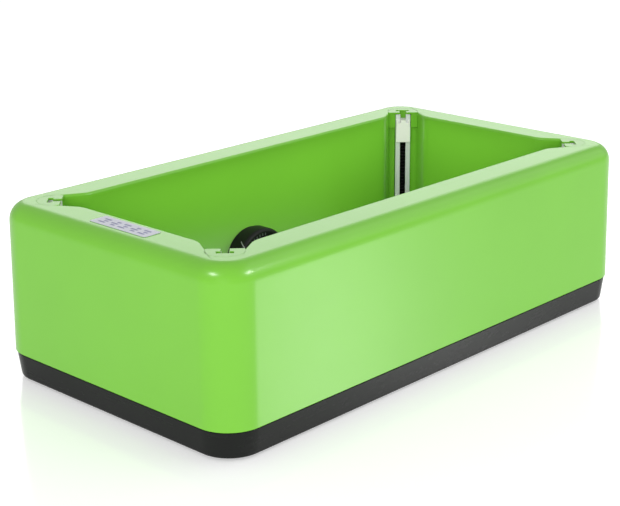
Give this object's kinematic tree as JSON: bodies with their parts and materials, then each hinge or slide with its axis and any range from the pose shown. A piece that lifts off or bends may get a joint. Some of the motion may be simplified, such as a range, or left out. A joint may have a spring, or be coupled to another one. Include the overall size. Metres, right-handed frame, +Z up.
{
  "type": "shoe cover dispenser",
  "caption": "Open-topped floor box with spring-loaded sliders in corner rails that hold stretchy shoe covers open for a foot, with a knob that locks the sliders down for loading.",
  "frame": {"origin": "on the floor under the middle of the box, at the bottom centre of its bounding box", "axes": "+X along the long side, +Y towards the long wall with the knob, +Z up"},
  "size_m": [0.4228, 0.2278, 0.1253],
  "materials": {
    "green_abs": "satin-gloss green ABS moulding",
    "charcoal_abs": "fine-textured charcoal ABS",
    "rail_aluminium": "satin anodised extrusion",
    "slider_white": "warm white acetal",
    "spring_black": "oiled spring wire",
    "knob_black": "black nylon",
    "zinc_steel": "zinc-plated steel",
    "foot_rubber": "black rubber",
    "label_white": "printed vinyl sticker"
  },
  "bodies": {
    "housing": {"outer_shell": "green_abs", "base_tray": "charcoal_abs", "foot_front_left": "foot_rubber", "foot_front_right": "foot_rubber", "foot_rear_left": "foot_rubber", "foot_rear_right": "foot_rubber", "base_screw_front_left": "zinc_steel", "base_screw_front_right": "zinc_steel", "base_screw_rear_left": "zinc_steel", "base_screw_rear_right": "zinc_steel", "base_screw_left": "zinc_steel", "base_screw_right": "zinc_steel", "instruction_label": "label_white", "rail_front_left": "rail_aluminium", "rail_liner_front_left": "knob_black", "rail_plug_front_left": "knob_black", "spring_front_left": "spring_black", "cap_front_left": "green_abs", "rail_front_right": "rail_aluminium", "rail_liner_front_right": "knob_black", "rail_plug_front_right": "knob_black", "spring_front_right": "spring_black", "cap_front_right": "green_abs", "rail_rear_left": "rail_aluminium", "rail_liner_rear_left": "knob_black", "rail_plug_rear_left": "knob_black", "spring_rear_left": "spring_black", "cap_rear_left": "green_abs", "rail_rear_right": "rail_aluminium", "rail_liner_rear_right": "knob_black", "rail_plug_rear_right": "knob_black", "spring_rear_right": "spring_black", "cap_rear_right": "green_abs", "knob_bezel": "knob_black", "bezel_nut": "knob_black"},
    "slider_front_left_body": {"slider_front_left": "slider_white"},
    "slider_front_right_body": {"slider_front_right": "slider_white"},
    "slider_rear_left_body": {"slider_rear_left": "slider_white"},
    "slider_rear_right_body": {"slider_rear_right": "slider_white"},
    "knob_body": {"lock_knob": "knob_black", "knob_shaft": "zinc_steel", "shaft_clip": "zinc_steel", "crank_lever": "zinc_steel"},
    "lock_left_body": {"lock_frame_left": "zinc_steel"},
    "lock_right_body": {"lock_frame_right": "zinc_steel"}
  },
  "joints": [
    {"name": "slider_front_left_slide", "type": "slide", "parent": "housing", "child": "slider_front_left_body", "axis": [0, 0, -1], "range_m": [0, 0.073], "stiffness_N_per_m": 20, "springref_m": -0.03, "deforming": ["spring_front_left"]},
    {"name": "slider_front_right_slide", "type": "slide", "parent": "housing", "child": "slider_front_right_body", "axis": [0, 0, -1], "range_m": [0, 0.073], "stiffness_N_per_m": 20, "springref_m": -0.03, "deforming": ["spring_front_right"]},
    {"name": "slider_rear_left_slide", "type": "slide", "parent": "housing", "child": "slider_rear_left_body", "axis": [0, 0, -1], "range_m": [0, 0.073], "stiffness_N_per_m": 20, "springref_m": -0.03, "deforming": ["spring_rear_left"]},
    {"name": "slider_rear_right_slide", "type": "slide", "parent": "housing", "child": "slider_rear_right_body", "axis": [0, 0, -1], "range_m": [0, 0.073], "stiffness_N_per_m": 20, "springref_m": -0.03, "deforming": ["spring_rear_right"]},
    {"name": "knob_turn", "type": "hinge", "parent": "housing", "child": "knob_body", "pos_m": [-0.0054, 0.07855, 0.043], "axis": [0, 1, 0], "range_deg": [0, 55]},
    {"name": "lock_left_slide", "type": "slide", "parent": "housing", "child": "lock_left_body", "axis": [1, 0, 0], "range_m": [0, 0.00695]},
    {"name": "lock_right_slide", "type": "slide", "parent": "housing", "child": "lock_right_body", "axis": [-1, 0, 0], "range_m": [0, 0.00695]}
  ],
  "couplings": [
    {"joint": "lock_left_slide", "follows": "knob_turn", "m_per_rad": 0.0072153},
    {"joint": "lock_right_slide", "follows": "knob_turn", "m_per_rad": 0.0072153}
  ]
}
